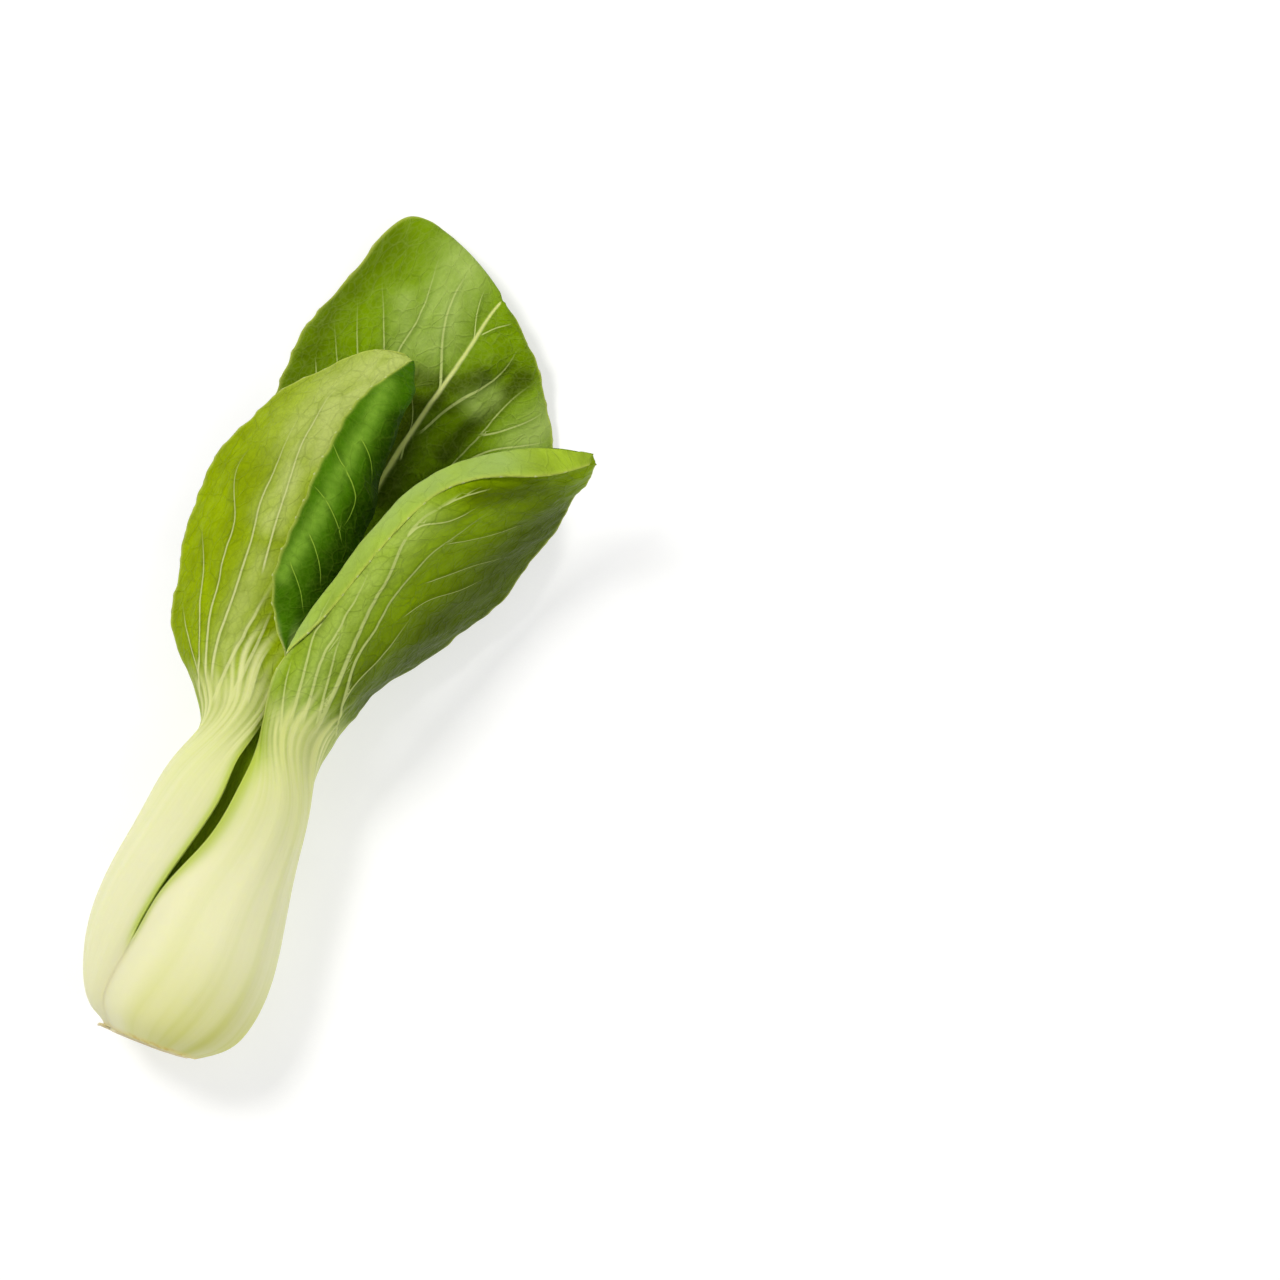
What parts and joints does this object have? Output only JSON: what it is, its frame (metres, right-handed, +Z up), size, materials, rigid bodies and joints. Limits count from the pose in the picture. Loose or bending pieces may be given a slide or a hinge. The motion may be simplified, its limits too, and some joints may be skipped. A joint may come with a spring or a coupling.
{
  "type": "bok choy",
  "caption": "Head of bok choy lying on its side: pale clasping stalks swell into a bulb and open into cupped green leaf blades with pale midribs.",
  "frame": {"origin": "middle of the footprint of the lying head, on the table", "axes": "+X across the head, +Y from the cut stem towards the leaf tips, +Z up from the table"},
  "size_m": [0.0868, 0.2042, 0.0556],
  "materials": {
    "stem": "cut fibrous stem, matte; stands for plant flesh",
    "stalk": "smooth waxy pale leaf stalk, satin; stands for plant flesh",
    "leaf": "green leaf blade, satin sheen, slightly translucent; stands for plant flesh",
    "heart_leaf": "young yellow-green leaf blade, satin; stands for plant flesh"
  },
  "bodies": {
    "root": {"crown": "stem", "leaf_left_stalk": "stalk", "leaf_left_blade": "leaf", "leaf_right_stalk": "stalk", "leaf_right_blade": "leaf", "leaf_back_stalk": "stalk", "leaf_back_blade": "leaf", "leaf_inner_top_stalk": "stalk", "leaf_inner_top_blade": "leaf", "leaf_inner_left_stalk": "stalk", "leaf_inner_left_blade": "leaf", "leaf_inner_right_stalk": "stalk", "leaf_inner_right_blade": "leaf", "leaf_heart_stalk": "stalk", "leaf_heart_blade": "heart_leaf"}
  },
  "joints": []
}
